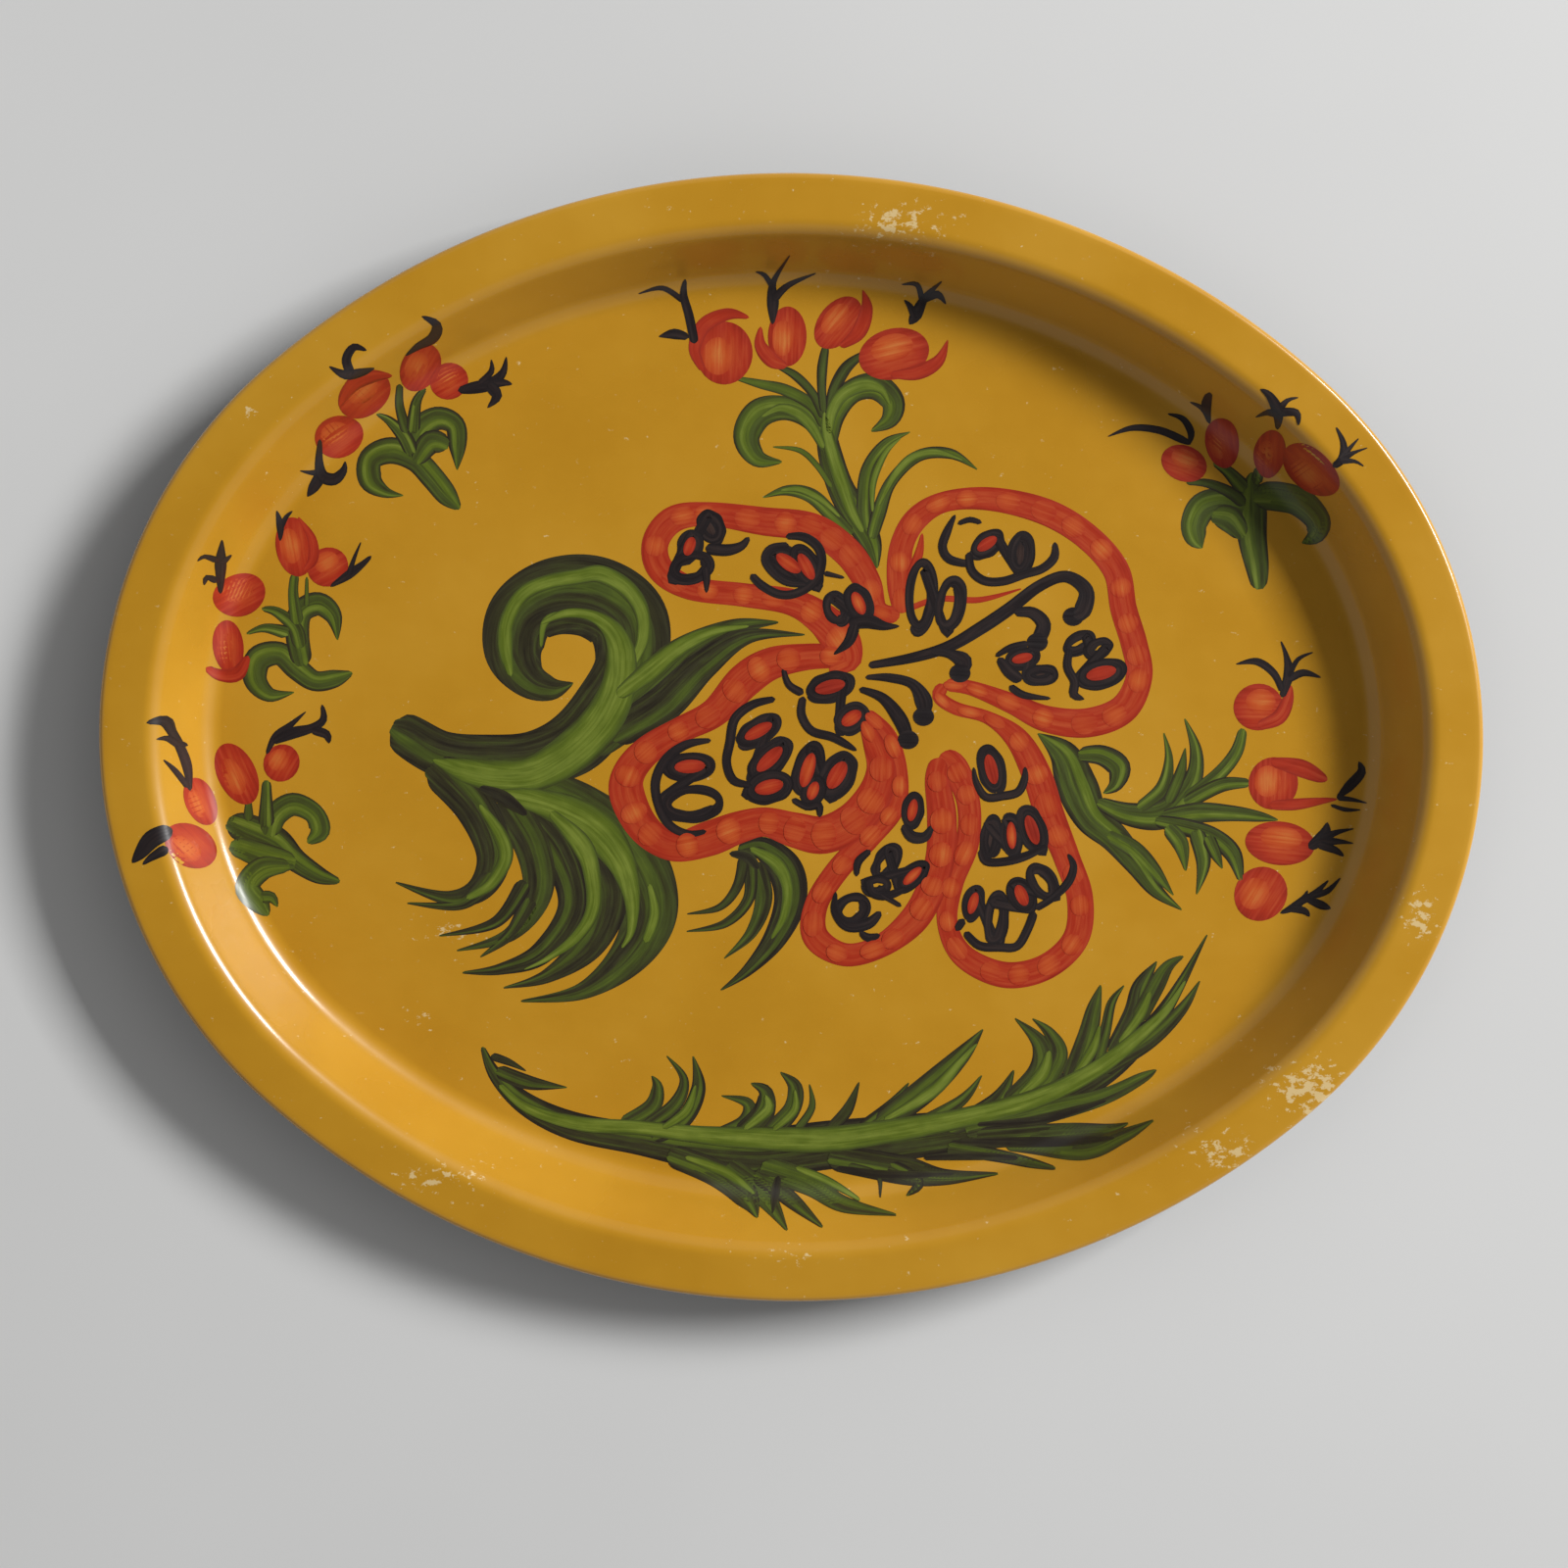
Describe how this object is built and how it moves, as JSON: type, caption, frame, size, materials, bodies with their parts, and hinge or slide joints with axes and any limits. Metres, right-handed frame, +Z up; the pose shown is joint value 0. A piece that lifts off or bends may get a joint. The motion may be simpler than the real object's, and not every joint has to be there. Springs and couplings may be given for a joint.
{
  "type": "painted serving tray",
  "caption": "Oval pressed-steel serving tray with a flat flange, a wired rolled edge and hand-painted flowers, buds and leaves on ochre enamel.",
  "frame": {"origin": "centre of the underside of the flat floor, which is the resting plane", "axes": "+X along the tray's length, +Y across it towards the top of the painted picture, +Z up out of its open side"},
  "size_m": [0.46, 0.376, 0.0242],
  "materials": {
    "ochre_enamel": "glossy ochre-yellow enamel under clear lacquer, with small chips at the rim",
    "steel_wire": "plain drawn iron wire, hidden in the rolled edge",
    "red_paint": "orange-red oil paint under clear lacquer, with brush streaks",
    "green_paint": "olive-green oil paint under clear lacquer, with light and dark brush streaks",
    "black_paint": "brown-black oil paint under clear lacquer"
  },
  "bodies": {
    "root": {"tray_pan": "ochre_enamel", "rim_wire": "steel_wire", "top_bouquet_buds": "red_paint", "top_bouquet_leaves": "green_paint", "top_bouquet_sprigs": "black_paint", "upper_left_buds": "red_paint", "upper_left_leaves": "green_paint", "upper_left_sprigs": "black_paint", "middle_left_buds": "red_paint", "middle_left_leaves": "green_paint", "middle_left_sprigs": "black_paint", "lower_left_buds": "red_paint", "lower_left_leaves": "green_paint", "lower_left_sprigs": "black_paint", "upper_right_buds": "red_paint", "upper_right_leaves": "green_paint", "upper_right_sprigs": "black_paint", "right_bouquet_buds": "red_paint", "right_bouquet_leaves": "green_paint", "right_bouquet_sprigs": "black_paint", "flower_pods": "red_paint", "flower_seeds": "black_paint", "flower_stamens": "black_paint", "scroll_leaf": "green_paint", "small_leaf": "green_paint", "bottom_frond": "green_paint"}
  },
  "joints": []
}
